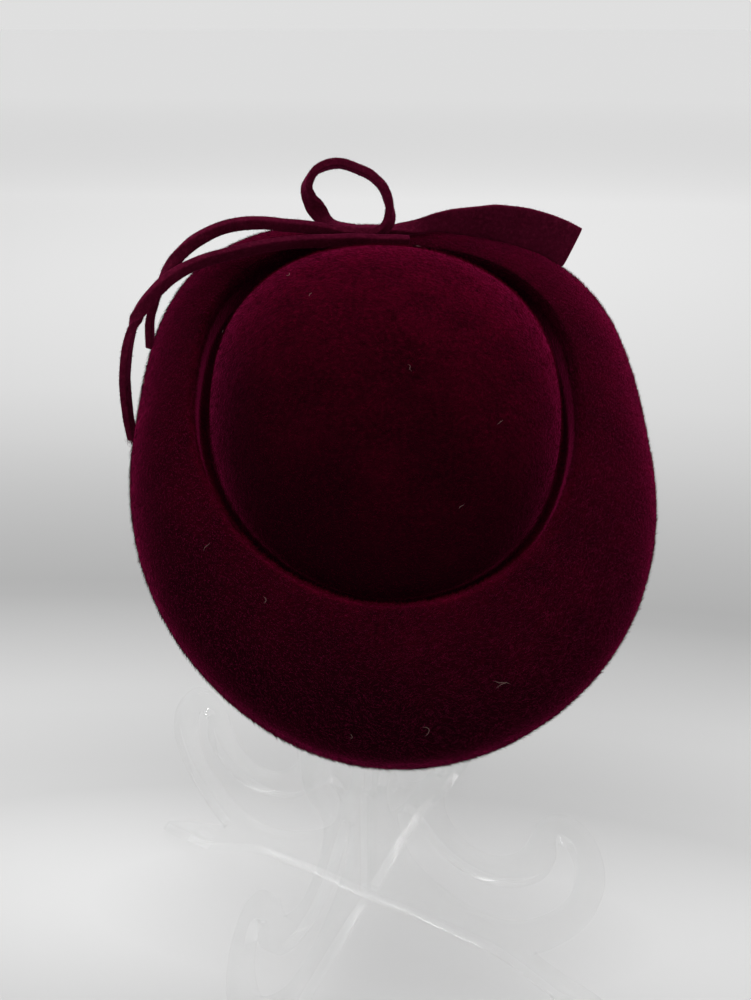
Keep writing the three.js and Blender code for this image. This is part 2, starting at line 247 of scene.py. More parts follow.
def closed_grid(points):
    """Points and faces of a grid that closes around, with a pole at each end. The
    first and the last row of the grid are the poles."""
    count, columns = points.shape[:2]
    inside = points[1:-1].reshape(-1, 3)
    places = np.concatenate([inside, points[:1, 0], points[-1:, 0]])
    row, column = np.meshgrid(np.arange(count - 3), np.arange(columns), indexing="ij")
    beside = (column + 1) % columns
    a, b = row * columns + column, row * columns + beside
    quads = np.stack([a, b, b + columns, a + columns], -1).reshape(-1, 4)
    k = np.arange(columns)
    beside = (k + 1) % columns
    first, last = len(inside), len(inside) + 1
    top = (count - 3) * columns
    start = np.stack([np.full(columns, first), beside, k], -1)
    end = np.stack([np.full(columns, last), top + k, top + beside], -1)
    return places, quads.tolist() + start.tolist() + end.tolist()


def hat_grid():
    """The whole skin of the hat in one grid: the inner face from the tip down, a half
    round over the cut edge, and the outer face up to the tip again."""
    inner = (outer - outer_normals * FELT)[::3]
    inner = inner[::-1]
    inner[0] = outer[-1] - [0, 0, FELT]
    down = unit(outer[0] - outer[1])
    middle = outer[0] - outer_normals[0] * FELT / 2
    bend = np.linspace(-np.pi / 2, np.pi / 2, 9)[1:-1, None, None]
    edge = middle + FELT / 2 * (np.sin(bend) * outer_normals[0] + np.cos(bend) * down)
    return np.concatenate([inner, edge, outer])


whole = hat_grid()
felt_points, felt_faces = closed_grid(whole)
hat_felt = new_piece("hat_felt", seated(felt_points), felt_faces)
print("hat_felt faces", len(felt_faces))

# %% [markdown]
# ## Painted light and shade on the felt
#
# Light and shade are painted into the felt's colour. Each point of the felt, and of each fibre on it, keeps
# one number of painted light: bright where the felt faces up and a little back, as if lit from above and
# behind, and painted shade where it faces away. The groove around the tip is given painted shade, deep at the
# back and less so at the sides.

# %% Paint light and shade onto the felt
# the way that painted light comes from, and the facing at which the felt goes from painted shade to full
# painted light
PAINTED_LIGHT_WAY, DULL, FULL = np.array([0.26, 0.42, 0.9]), -0.1, 1.0
# painted shade on the band's front, a painted highlight on its sides, and the even painted light inside the
# hat
BAND_FRONT, BAND_SIDE, INSIDE_PAINTED_LIGHT = 0.8, 0.35, 0.3
LIP_ROW, TIP_ROW = sum(arc[5] for arc in ARCS[:3]), sum(arc[5] for arc in ARCS[:6])


def painted_light(normals, band):
    """Painted light from 0 to 1: felt that faces up and a little back is painted bright, as if lit from
    above. On the band, felt that faces the front gets more painted shade and felt that faces a side gets a
    painted highlight."""
    ways = normals @ seat_turn.T
    share = np.clip((ways @ unit(PAINTED_LIGHT_WAY) - DULL) / (FULL - DULL), 0, 1)
    light = share * share * (3 - 2 * share)
    edge = light * (1 - BAND_FRONT * np.clip(-ways[..., 1], 0, 1)) + BAND_SIDE * ways[..., 0] ** 2
    return light + band * (edge - light)


def put_painted_light(piece, values):
    """Store the painted light of each point of a mesh, for its felt to use."""
    layer = piece.data.attributes.new("painted_light", "FLOAT", "POINT")
    layer.data.foreach_set("value", np.asarray(values, np.float32))


def hat_painted_light(count):
    """The painted light of the whole skin: one even value inside, and outside that of its normals, with
    painted shade deep in the groove around the tip."""
    row, back = np.arange(len(outer)), np.clip(0.6 + 0.5 * np.sin(angles), 0, 1)
    # painted shade in the groove between the lip and the tip, deepest at the back
    depth = np.clip((row - LIP_ROW) / 4, 0, 1) * np.clip((TIP_ROW + 5 - row) / 8, 0, 1)
    outside = painted_light(outer_normals, row[:, None] < LIP_ROW) * (1 - depth[:, None] * back)
    grid = np.full((count, AROUND), INSIDE_PAINTED_LIGHT)
    grid[-len(outer):] = outside
    return np.concatenate([grid[1:-1].ravel(), grid[0, :1], grid[-1, :1]])


put_painted_light(hat_felt, hat_painted_light(len(whole)))
print("rows of the lip and of the tip", LIP_ROW, TIP_ROW)

# %% [markdown]
# ## Felt strips
#
# The trim is cut from thick felt. Away from the leaf, a strip is more than half as
# thick as it is wide, and its corners are only a little soft. A section with rounded corners is carried along
# a smooth curve. The direction of its width turns slowly from row to row, which lets
# one strip hang, cross the crest, stand up in a loop and lie down as the leaf.

# %% The rows of both strips
# x, y, z, width, thickness, and the direction of the width
LOOPED = np.array([
    (-103.2, 62, 4, 4.6, 3.2, 0.2, 1, 0),
    (-101.6, 64, 18, 4.6, 3.2, 0.2, 1, 0),
    (-98, 67, 28.5, 4.6, 3.2, 0.2, 1, 0.1),
    (-93.5, 71, 38, 4.8, 3.2, 0.1, 1, 0.4),
    (-87, 76, 45, 4.8, 3.2, 0, 0.6, 0.8),
    (-79, 81, 49, 5, 3.2, 0, 0.2, 1),
    (-69, 85, 51.6, 5, 3.2, 0, 0, 1),
    (-55.5, 87, 52.4, 5, 3.2, 0, 0, 1),
    (-42, 88, 50.8, 5, 3.2, 0, 0, 1),
    (-30, 89, 48.6, 5, 3.2, 0, 0, 1),
    (-19, 89.4, 47, 5, 3.2, 0, -0.2, 1),
    (-10, 89.6, 47.4, 5, 3.2, -0.3, -0.4, 1),
    (-4.6, 91, 52, 5, 3.2, -0.8, -0.5, 0.8),
    (-4.8, 96, 58, 5.4, 3.4, 0, -0.6, 0.8),
    (-8.8, 101, 63.6, 5.6, 3.4, 0, -0.6, 0.8),
    (-15.5, 104, 66.4, 5.6, 3.4, 0, -0.6, 0.8),
    (-23.1, 106, 67.6, 5.6, 3.4, 0, -0.6, 0.8),
    (-30, 106, 67.2, 5.8, 3.4, 0, -0.6, 0.8),
    (-35.6, 104, 64.4, 6, 3.2, 0.2, -0.6, 0.8),
    (-37.8, 101.5, 60, 6.4, 3.2, 0.4, -0.6, 0.8),
    (-36.6, 99.5, 54.8, 7.4, 3, 0.8, -0.5, 0.6),
    (-33, 98, 49.6, 7.6, 2.8, 0.9, 0.4, 0.2),
    (-28, 95.8, 46, 6.6, 2.6, 0.4, 1, -0.4),
    (-20, 95.2, 45, 5.8, 2.4, 0, 1, -0.5),
    (-11, 95.2, 44.9, 5.6, 2.4, 0, 1, -0.5),
    (-2, 95.6, 44.8, 5.8, 2.4, 0, 1, -0.3),
    (7, 97.2, 45.1, 6, 2.4, 0, 1, 0.4),
    (17, 100.2, 45.6, 8, 2.4, 0, 0.7, 1),
    (29, 101.2, 46, 11.6, 2.4, 0, 0.5, 1),
    (41, 100.8, 46.6, 14.2, 2.4, 0, 0.5, 1),
    (52, 98, 47.2, 16.2, 2.4, 0, 0.5, 1),
    (62, 94, 47.2, 16.8, 2.4, 0.1, 0.5, 1),
    (72, 87.5, 46.9, 17.2, 2.4, 0.25, 0.5, 0.85),
])
FRONT = np.array([
    (-104.4, 14, 3, 4.4, 3.2, 0.3, 1, 0),
    (-105.4, 18, 10, 4.4, 3.2, 0.3, 1, 0),
    (-106, 23, 19.4, 4.4, 3.2, 0.3, 1, 0),
    (-105.6, 28.5, 28, 4.6, 3.2, 0.3, 1, 0),
    (-104, 35, 36, 4.6, 3.2, 0.3, 1, 0.2),
    (-100.8, 42, 42.6, 4.8, 3.2, 0.2, 0.8, 0.5),
    (-96, 49.5, 46.6, 4.8, 3.2, 0, 0.5, 0.8),
    (-90.5, 57, 48.4, 5, 3.2, 0, 0.2, 1),
    (-83.4, 63.5, 49, 5, 3.2, 0, 0, 1),
    (-74.5, 69.5, 48.8, 5, 3.2, 0, 0, 1),
    (-62, 75.5, 48.2, 5, 3.2, 0, 0, 1),
    (-48.5, 80.6, 47.8, 5, 3.2, 0, 0, 1),
    (-32, 83.6, 47.6, 5, 3.2, 0, 0, 1),
    (-20, 84.6, 47.8, 5, 3.2, 0, 0, 1),
    (-8, 85, 48, 5, 3.2, 0, 0, 1),
    (4, 86, 47.6, 4.6, 3, 0, 0, 1),
])
STEPS_PER_ROW = 10
print("rows", len(LOOPED), "and", len(FRONT))


# %% Carry a soft-cornered section along a curve
def smooth_through(table, steps):
    """A centripetal Catmull-Rom curve: each span is a cubic whose end slopes come
    from the neighbouring points, weighed by the square root of their distances."""
    ends = np.concatenate([[2 * table[0] - table[1]], table, [2 * table[-1] - table[-2]]])
    gap = np.maximum(np.linalg.norm(np.diff(ends[:, :3], axis=0), axis=1), 1e-6) ** 0.5
    t = (np.arange(steps) / steps)[:, None]
    spans = []
    for i in range(len(table) - 1):
        p0, p1, p2, p3 = ends[i:i + 4]
        g0, g1, g2 = gap[i:i + 3]
        leave = ((p1 - p0) / g0 - (p2 - p0) / (g0 + g1) + (p2 - p1) / g1) * g1
        arrive = ((p2 - p1) / g1 - (p3 - p1) / (g1 + g2) + (p3 - p2) / g2) * g1
        spans.append(p1 + leave * t + (3 * (p2 - p1) - 2 * leave - arrive) * t ** 2
                     + (2 * (p1 - p2) + leave + arrive) * t ** 3)
    return np.concatenate(spans + [table[-1:]])


def soft_section(points, corner):
    """A rounded rectangle of width and thickness two: a superellipse whose power is
    high, so that only its corners are soft."""
    angle = np.arange(points) / points * 2 * np.pi + np.pi / points
    circle = np.stack([np.cos(angle), np.sin(angle)], -1)
    return np.sign(circle) * np.abs(circle) ** (2 / corner)


def strip_grid(table, seed, wobble=0.16, sides=32):
    """The section carried along the smooth curve, standing square to it, with a small
    seeded wobble of the cut edges, and its ends closed over a softened corner."""
    line = smooth_through(table, STEPS_PER_ROW)
    count = len(line)
    random = np.random.default_rng(seed)
    knots = np.linspace(0, count - 1, max(count // 5, 4))
    waves = [np.interp(np.arange(count), knots, random.normal(0, wobble, len(knots))) for _ in range(3)]
    middle = line[:, :3] + np.stack(waves, -1) * [0.6, 0.6, 0.6]
    tangent = unit(np.gradient(middle, axis=0))
    width = line[:, 5:8]
    width = unit(width - (width * tangent).sum(-1, keepdims=True) * tangent)
    depth = np.cross(tangent, width)
    section = soft_section(sides, 5.5)
    wide, thick = line[:, 3:4] / 2 + waves[0][:, None] * 0.5, line[:, 4:5] / 2
    body = (middle[:, None] + width[:, None] * (section[:, 0] * wide)[..., None]
            + depth[:, None] * (section[:, 1] * thick)[..., None])
    caps = []
    for end, way in ((0, -1), (-1, 1)):
        out = tangent[end] * way
        rings = [middle[end] + (body[end] - middle[end]) * share + out * reach
                 for share, reach in ((0.93, 0.22), (0.75, 0.34), (0.35, 0.38), (0, 0.4))]
        caps.append(np.stack(rings))
    return np.concatenate([caps[0][::-1], body, caps[1]])


looped_grid, front_grid = strip_grid(LOOPED, SEED + 1), strip_grid(FRONT, SEED + 2)
strips = {}
for name, grid in (("looped_trim", looped_grid), ("front_trim", front_grid)):
    places, faces = closed_grid(grid)
    strips[name] = new_piece(name, seated(places), faces)
    print(name, "faces", len(faces))

# %% [markdown]
# ## The nap
#
# Velour felt is brushed until its surface stands up as a short pile, and that pile is
# why it looks like velvet: dark where it is seen end on and bright where it is seen
# aslant. Tens of thousands of tiny fibres give it a real surface. Each is a closed
# spike of four triangles, so that the whole pile stays light. The fibres are spread
# evenly by area and brushed one way around the hat. They lean alike in clumps and
# short streaks. The lip of the crest gets slightly longer fibres that stray more and
# soften its edge.

# %% Spread fibres over a grid
ROOT, SHORTEST, LONGEST = 0.15, 0.6, 1.5
STREAKS, CLUMP_SWING, CLUMP_TONE = np.array([[0.25], [0.7], [0.7]]), 0.5, 0.7
BODY_NAP = dict(length=1.7, lift=0.4)
TRIM_NAP = dict(length=0.8, lift=0.5, thickness=0.05, stray=1.2)


def spread(points, count, random, closed=True):
    """Places on a grid, chosen so that each has the same area to itself, with the way
    around, the way along and the normal there."""
    across, along = np.roll(points, -1, 1)[:-1] - points[:-1], points[1:] - points[:-1]
    normal = np.cross(across, along)
    area = np.linalg.norm(normal, axis=-1)
    if not closed:
        area[:, -1] = 0
    chance = np.cumsum(area.ravel()) / area.sum()
    cell = np.minimum(np.searchsorted(chance, random.random(count)), area.size - 1)
    row, column = np.unravel_index(cell, area.shape)
    u, v = random.random((2, count, 1))
    place = points[row, column] + across[row, column] * u + along[row, column] * v
    return place, unit(across[row, column]), unit(along[row, column]), unit(normal[row, column])


def fibres(place, direction, length, thickness, random):
    """A spike for each place: a small triangle square to the fibre, joined to its
    point. All the spikes are worked out as one array."""
    helper = unit(np.cross(direction, random.normal(0, 1, place.shape)))
    other = np.cross(direction, helper)
    turns = np.arange(3) * 2 * np.pi / 3
    root = place - direction * ROOT
    base = [root + thickness * (np.cos(a) * helper + np.sin(a) * other) for a in turns]
    corners = np.stack(base + [place + direction * length], 1)
    spike = np.array([(0, 1, 3), (1, 2, 3), (2, 0, 3), (2, 1, 0)])
    faces = (np.arange(len(place))[:, None, None] * 4 + spike).reshape(-1, 3)
    return corners.reshape(-1, 3), faces


def brushed(points, count, seed, length, lift, thickness=0.055, stray=0.5, band=False):
    """Fibres over a grid, brushed around it, with each turned a little by chance and lifted off the felt by a
    small angle. Each of a fibre's four points gets the painted light of the felt that it grows from, changed
    a little with its clump."""
    random = np.random.default_rng(seed)
    place, around, along, normal = spread(points, count, random, not band)
    waves, starts = random.normal(0, STREAKS, (3, 6)), random.uniform(0, 2 * np.pi, 6)
    clump = np.sin(place @ waves + starts).sum(1, keepdims=True) / 6 ** 0.5
    swing = random.normal(0, stray, (count, 1)) + CLUMP_SWING * clump
    raised = np.abs(random.normal(lift, lift * 0.6, (count, 1)))
    direction = unit(np.cos(swing) * around + np.sin(swing) * along + raised * normal)
    lengths = random.uniform(SHORTEST, LONGEST, (count, 1)) * length
    corners, faces = fibres(place, direction, lengths, thickness, random)
    light = np.clip(painted_light(normal, band) * (1 + CLUMP_TONE * clump[:, 0]), 0, 1)
    return corners, faces, light.repeat(4)


back_column = AROUND // 2
band_grid = outer[:LIP_ROW + 1]
NAPS = {
    "tip_nap": brushed(outer[TIP_ROW - 5:], 46000, SEED + 3, **BODY_NAP),
    "band_nap_front": brushed(band_grid[:, :back_column + 1], 48000, SEED + 4, **BODY_NAP, band=True),
    "band_nap_back": brushed(band_grid[:, back_column:], 48000, SEED + 5, **BODY_NAP, band=True),
    "lip_nap": brushed(outer[LIP_ROW - 7:LIP_ROW + 2], 16000, SEED + 10, length=2.0, lift=0.6, stray=1.6),
}
print({name: len(nap[1]) for name, nap in NAPS.items()})

# %% [markdown]
# ## Nap on the trim
#
# A cut edge of felt frays, so the strips get fibres that are shorter than the body's
# and stray more, and the hanging end of the front strip has a small ragged brush.

# %% Fray the strips
def joined(parts):
    """Several sets of fibres as one set of points, faces and painted light values."""
    places, faces, painted_lights, start = [], [], [], 0
    for points, found, light in parts:
        places.append(points)
        faces.append(found + start)
        painted_lights.append(light)
        start += len(points)
    return np.concatenate(places), np.concatenate(faces), np.concatenate(painted_lights)


random = np.random.default_rng(SEED + 6)
# the ragged end's fibres all get one even painted light
RAGGED, END_PAINTED_LIGHT = 420, 0.5
end_places = FRONT[0, :3] + random.normal(0, 1, (RAGGED, 3)) * [1.0, 1.3, 0.5] + [0, 0, 0.6]
end_ways = unit(np.array([0.1, -0.25, -1]) + random.normal(0, 0.45, (RAGGED, 3)))
brush = fibres(end_places, end_ways, random.uniform(0.8, 2.6, (RAGGED, 1)), 0.07, random)
NAPS["trim_nap"] = joined([
    brushed(looped_grid[4:-4], 15000, SEED + 7, **TRIM_NAP),
    brushed(front_grid[4:-4], 6000, SEED + 8, **TRIM_NAP),
    (*brush, np.full(len(brush[0]), END_PAINTED_LIGHT)),
])
naps = {}
for name, (places, faces, light) in NAPS.items():
    naps[name] = new_piece(name, seated(places), faces.tolist())
    put_painted_light(naps[name], light)
print("trim fibres", len(NAPS["trim_nap"][1]) // 4)

# %% [markdown]
# ## Lint
#
# A velour hat picks up pale lint. Eighteen fine curled hairs lie on the tip and on the
# band, each a thin three-sided thread along a seeded wandering curve that is kept just
# above the nap.

# %% Lay a few pale hairs
HAIR_STEPS, HAIR_WANDER, HAIR_THICK = 14, 0.34, 0.06


def hair(start, way, normal, length, random):
    """A thread whose heading wanders a little at each step, with a triangular
    section that narrows to a point at both ends."""
    side = np.cross(normal, way)
    heading = np.cumsum(random.normal(0, HAIR_WANDER, HAIR_STEPS))
    ahead = np.cos(heading)[:, None] * way + np.sin(heading)[:, None] * side
    line = start + np.cumsum(ahead * length / HAIR_STEPS, 0) + normal * random.uniform(0.7, 1.1)
    thick = HAIR_THICK * np.sin(np.linspace(0.15, np.pi - 0.15, HAIR_STEPS))[:, None]
    rings = []
    for angle in np.arange(3) * 2 * np.pi / 3:
        rings.append(line + thick * (np.cos(angle) * normal + np.sin(angle) * np.cross(ahead, normal)))
    grid = np.stack(rings, 1)
    ends = grid.mean(1, keepdims=True).repeat(3, 1)
    return closed_grid(np.concatenate([ends[:1], grid, ends[-1:]]))


random = np.random.default_rng(SEED + 9)
lint_points, lint_faces, start = [], [], 0
for grid, count in ((outer[TIP_ROW + 8:], 9), (outer[20:LIP_ROW - 8], 9)):
    place, around, along, normal = spread(grid, count, random)
    for k in range(count):
        points, faces = hair(place[k], around[k], normal[k], random.uniform(2.5, 6), random)
        lint_points.append(points)
        lint_faces += [[i + start for i in face] for face in faces]
        start += len(points)
lint = new_piece("lint", seated(np.concatenate(lint_points)), lint_faces)
print("lint hairs", len(lint_points))

# %% [markdown]
# ## The clear stand
#
# Each plate is cut from one sheet, with scrolled arms, windows and a rounded head, and
# the two slide into each other through half-length slots. Blender's own flat curve
# suits such a plate: it fills an outline with its holes, gives it a thickness and
# rounds its edges. The outline is the right half, passed through by a smooth line and
# mirrored.

# %% Half outlines of a plate, out from its middle and up from the floor
PLATE, SLOT, LAP = 5.0, 2.85, 75.0
BEVEL, LAP_GAP = 0.35, 0.35
UNDERSIDE = [(0, 13), (24, 14.5), (46, 13.5), (62, 12), (76, 6.5), (90, 0)]
ARM = [
    (117, 3), (104, 9), (88, 14), (78, 20), (86, 31), (96, 47), (101.5, 64), (101, 79),
    (96, 92), (88, 99.5), (79.5, 98.5), (73.5, 92), (71, 82), (67, 72.5), (60, 66.5),
    (51, 64.5), (42, 69), (35.5, 78), (34, 88), (38, 98), (44, 110), (48, 125), (47, 143),
    (40, 162), (31, 180), (25.5, 196), (22.5, 210), (18, 221), (10, 229), (0, 231.5),
]
ARM_WINDOW = [
    (13, 68), (16, 54), (23, 43), (38, 33.5), (54, 29.5), (68, 32.5), (81, 44), (89, 59),
    (90.5, 76), (87, 87), (81, 87), (82, 76), (78, 66), (69, 57.5), (57, 53), (44, 54.5),
    (33, 61), (24, 71), (18, 75),
]
UPPER_WINDOW = [
    (11, 92), (18, 88), (25, 94), (32, 110), (36, 126), (35, 143), (28, 160), (19, 176),
    (12, 186), (10, 160), (10, 120),
]
STAND_TURN = radians(27)


def smooth_line(places, steps, closed):
    """A uniform Catmull-Rom line through flat places: cubic spans whose end slopes
    are half the step between the neighbours."""
    p = np.array(places, float)
    ends = np.concatenate([p[-1:], p, p[:2]]) if closed else np.concatenate([p[:1], p, p[-1:]])
    spans, t = [], (np.arange(steps) / steps)[:, None]
    for i in range(len(ends) - 3):
        a, b, c, d = ends[i:i + 4]
        spans.append(b + (c - a) / 2 * t + (2 * a - 5 * b + 4 * c - d) / 2 * t ** 2
                     + (3 * b - a - 3 * c + d) / 2 * t ** 3)
    return np.concatenate(spans if closed else spans + [p[-1:]])


def plate_outline(slot_from_top):
    """The right half from the underside up to the head, then the left half back down,
    with the slot cut from the top or from below."""
    half = np.concatenate([smooth_line(UNDERSIDE, 6, False), [(117, 0)], smooth_line(ARM, 6, False)])
    right = half[half[:, 0] > SLOT]
    left = (right * [-1, 1])[::-1]
    notch = (np.array([(SLOT, LAP), (-SLOT, LAP)]) if slot_from_top
             else np.array([(-SLOT, LAP + LAP_GAP), (SLOT, LAP + LAP_GAP)]))
    top, foot = [half[-1]], [half[0]]
    if slot_from_top:
        top = [(SLOT, right[-1, 1]), *notch, (-SLOT, right[-1, 1])]
    else:
        foot = [(-SLOT, right[0, 1]), *notch, (SLOT, right[0, 1])]
    return np.concatenate([right, top, left, foot])


def clear_plate(name, slot_from_top, heading):
    """A flat curve with holes, thickened and edged, made a mesh and stood upright
    along its heading through the stand's axis."""
    curve = bpy.data.curves.new(name, "CURVE")
    curve.dimensions, curve.fill_mode = "2D", "BOTH"
    curve.extrude, curve.bevel_depth, curve.bevel_resolution = PLATE / 2 - BEVEL, BEVEL, 2
    curve.offset = -BEVEL
    windows = [smooth_line(window, 6, True) * [side, 1]
               for window in (ARM_WINDOW, UPPER_WINDOW) for side in (1, -1)]
    for outline in (plate_outline(slot_from_top), *windows):
        spline = curve.splines.new("POLY")
        spline.points.add(len(outline) - 1)
        flat = np.column_stack([outline, np.zeros(len(outline)), np.ones(len(outline))])
        spline.points.foreach_set("co", flat.ravel())
        spline.use_cyclic_u = True
    holder = bpy.data.objects.new(name, curve)
    mesh = bpy.data.meshes.new_from_object(holder)
    bpy.data.objects.remove(holder)
    flat = np.zeros(len(mesh.vertices) * 3)
    mesh.vertices.foreach_get("co", flat)
    x, up, through = flat.reshape(-1, 3).T
    along = np.array([np.cos(heading), np.sin(heading)])
    beside = np.array([-np.sin(heading), np.cos(heading)])
    ground = x[:, None] * along - through[:, None] * beside
    places = np.column_stack([ground + stand_axis[:2], up]) * MM
    mesh.vertices.foreach_set("co", places.ravel())
    mesh.update()
    piece = bpy.data.objects.new(name, mesh)
    bpy.context.scene.collection.objects.link(piece)
    return piece


plates = {
    "clear_plate_across": clear_plate("clear_plate_across", True, -STAND_TURN),
    "clear_plate_along": clear_plate("clear_plate_along", False, np.pi / 2 - STAND_TURN),
}
print("plate faces", [len(p.data.polygons) for p in plates.values()])

# %% [markdown]
# ## Shader maths as Python
#
# A material is a graph of nodes. Wrapping one output in a small class lets plain
# Python operators add the Math nodes, so a mask can be written as one short
# expression. Every other node comes from one method.

# %% A wrapped socket and a material to put it in
class Signal:
    """One output of a node. Sums, products and powers of signals add Math nodes."""

    def __init__(self, paint, socket):
        self.paint, self.socket = paint, socket

    def _with(self, operation, first, second):
        return self.paint.node("ShaderNodeMath", {0: first, 1: second}, operation=operation)

    def __add__(self, other):
        return self._with("ADD", self, other)

    def __mul__(self, other):
        return self._with("MULTIPLY", self, other)

    def __pow__(self, other):
        return self._with("POWER", self, other)


def socket_name(word):
    """A setting's name, spelt as the shader spells it."""
    return word.replace("_", " ").title().replace("Ior", "IOR")


class Paint:
    """A material with its Principled shader, ready for settings and signals."""

    def __init__(self, name, **constants):
        self.material = bpy.data.materials.new(name)
        self.material.use_nodes = True
        self.tree = self.material.node_tree
        self.shader = self.tree.nodes["Principled BSDF"]
        for socket, value in constants.items():
            self.shader.inputs[socket_name(socket)].default_value = value

    def feed(self, socket, value):
        if isinstance(value, Signal):
            self.tree.links.new(value.socket, socket)
        else:
            socket.default_value = value

    def node(self, kind, inputs=None, output=0, ramp=None, **settings):
        made = self.tree.nodes.new(kind)
        for key, value in settings.items():
            setattr(made, key, value)
        if ramp:
            stops = made.color_ramp.elements
            while len(stops) < len(ramp):
                stops.new(1)
            for stop, (place, colour) in zip(stops, ramp):
                stop.position, stop.color = place, (*colour, 1)
        for key, value in (inputs or {}).items():
            self.feed(made.inputs[key], value)
        return Signal(self, made.outputs[output])

    def places(self):
        """Object coordinates, in metres."""
        return self.node("ShaderNodeTexCoord", output="Object")

    def noise(self, where, scale, detail=3.0, roughness=0.55):
        return self.node("ShaderNodeTexNoise", {"Vector": where, "Scale": scale, "Detail": detail,
                                                "Roughness": roughness})

    def mix(self, share, first, second):
        """Two colours mixed by a signal."""
        made = self.tree.nodes.new("ShaderNodeMix")
        made.data_type = "RGBA"
        self.feed(made.inputs["Factor"], share)
        for socket, colour in ((made.inputs[6], first), (made.inputs[7], second)):
            self.feed(socket, colour if isinstance(colour, Signal) else (*colour, 1))
        return Signal(self, made.outputs[2])

    def fit(self, value, low, high, to_low=0.0, to_high=1.0):
        """A value brought from one range to another and kept inside it."""
        return self.node("ShaderNodeMapRange", {"Value": value, "From Min": low, "From Max": high,
                                                "To Min": to_low, "To Max": to_high})

    def bump(self, height, distance, strength=1.0):
        return self.node("ShaderNodeBump", {"Height": height, "Distance": distance, "Strength": strength})

    def finish(self, **signals):
        for socket, value in signals.items():
            self.feed(self.shader.inputs[socket_name(socket)], value)
        return self.material


# %% [markdown]
# ## Burgundy velour
#
# The dye is a deep wine red. Seen face on, light sinks between the fibres and the felt is nearly black; seen
# aslant, the fibres' sides catch it. Sheen gives that second part. The colour varies in soft clouds a few
# millimetres across, where the nap leans differently, and in fine grain. On the body and its nap, painted
# shade darkens the colour further where the felt faces away from the painted light.

# %% Felt for the body, the nap and the trim
# the colour of the painted shade, where the felt faces away from the painted light
PAINTED_SHADE = (0.0042, 0.0006, 0.0018)


def velour(name, dark, middle, bright, sheen, tint, grain, painted_lights=True):
    """Wine felt: clouds and grain of noise between three colours, darkened towards the painted shade colour
    by the painted light stored on the mesh, a sheen at grazing angles, and a fine bump for the pile."""
    paint = Paint(name, roughness=1.0, sheen_weight=sheen, sheen_roughness=0.36,
                  sheen_tint=(*tint, 1), specular_ior_level=0.0)
    here = paint.places()
    clouds = paint.fit(paint.noise(here, 55, 4), 0.3, 0.7)
    flecks = paint.fit(paint.noise(here, 620, 4, 0.7), 0.32, 0.72)
    body = paint.mix(clouds * 0.55 + flecks * 0.45, dark, middle)
    colour = paint.mix(flecks ** 3.0 * grain, body, bright)
    if painted_lights:
        # painted light and shade: the stored value mixes the colour towards the painted shade
        light = paint.node("ShaderNodeAttribute", output="Fac", attribute_name="painted_light")
        colour = paint.mix(light * 0.9 + 0.1, PAINTED_SHADE, colour)
    height = paint.noise(here, 950, 3, 0.7) + clouds * 0.6
    return paint.finish(base_color=colour, normal=paint.bump(height, 0.0006, 0.8))


felt_body = velour(
    "velour_body", dark=(0.012, 0.0002, 0.0015), middle=(0.055, 0.0005, 0.006),
    bright=(0.13, 0.001, 0.015), sheen=0.7, tint=(0.66, 0.02, 0.15), grain=0.5)
felt_trim = velour(
    "velour_trim", dark=(0.04, 0.002, 0.009), middle=(0.075, 0.004, 0.017),
    bright=(0.15, 0.012, 0.036), sheen=0.5, tint=(0.6, 0.05, 0.2), grain=0.5, painted_lights=False)
nap_hair = velour(
    "velour_nap", dark=(0.022, 0.0002, 0.0026), middle=(0.085, 0.0007, 0.0095),
    bright=(0.2, 0.0017, 0.024), sheen=0.25, tint=(0.66, 0.01, 0.12), grain=0.8)
band_hair = velour(
    "velour_band_nap", dark=(0.022, 0.0002, 0.0026), middle=(0.075, 0.0007, 0.0085),
    bright=(0.15, 0.0015, 0.02), sheen=0.55, tint=(0.7, 0.03, 0.17), grain=0.6)
trim_hair = velour(
    "trim_nap_felt", dark=(0.04, 0.002, 0.009), middle=(0.08, 0.005, 0.019),
    bright=(0.16, 0.016, 0.044), sheen=0.3, tint=(0.6, 0.06, 0.2), grain=0.8, painted_lights=False)
lint_paint = Paint("pale_lint", roughness=0.8)
pale = lint_paint.mix(lint_paint.noise(lint_paint.places(), 90), (0.2, 0.09, 0.08), (0.42, 0.3, 0.26))
lint_hair = lint_paint.finish(base_color=pale)

# %% [markdown]
# ## Clear plates
#
# Polished acrylic bends light and mirrors a little at its edges. Handling leaves the
# faintest haze on it. Most of its surface is let through outright, because thin clear
# sheet on a pale ground all but vanishes.

# %% Clear acrylic
acrylic = Paint("clear_acrylic", base_color=(0.97, 0.985, 0.985, 1), transmission_weight=1.0,
                ior=1.49, alpha=0.1)
haze = acrylic.noise(acrylic.places(), 40, 5)
clear_sheet = acrylic.finish(roughness=acrylic.fit(haze, 0.35, 0.75, 0.02, 0.09))
print("finishes", [m.name for m in bpy.data.materials])

# %% [markdown]
# ## Put the pieces in their places
#
# Every piece rides on the one body and takes its finish. Its row also gives a slot name for that finish,
# which nothing below reads, and the node of the imported model that it stands for, which is hidden. The nap
# and the lint stand for no node of their own.

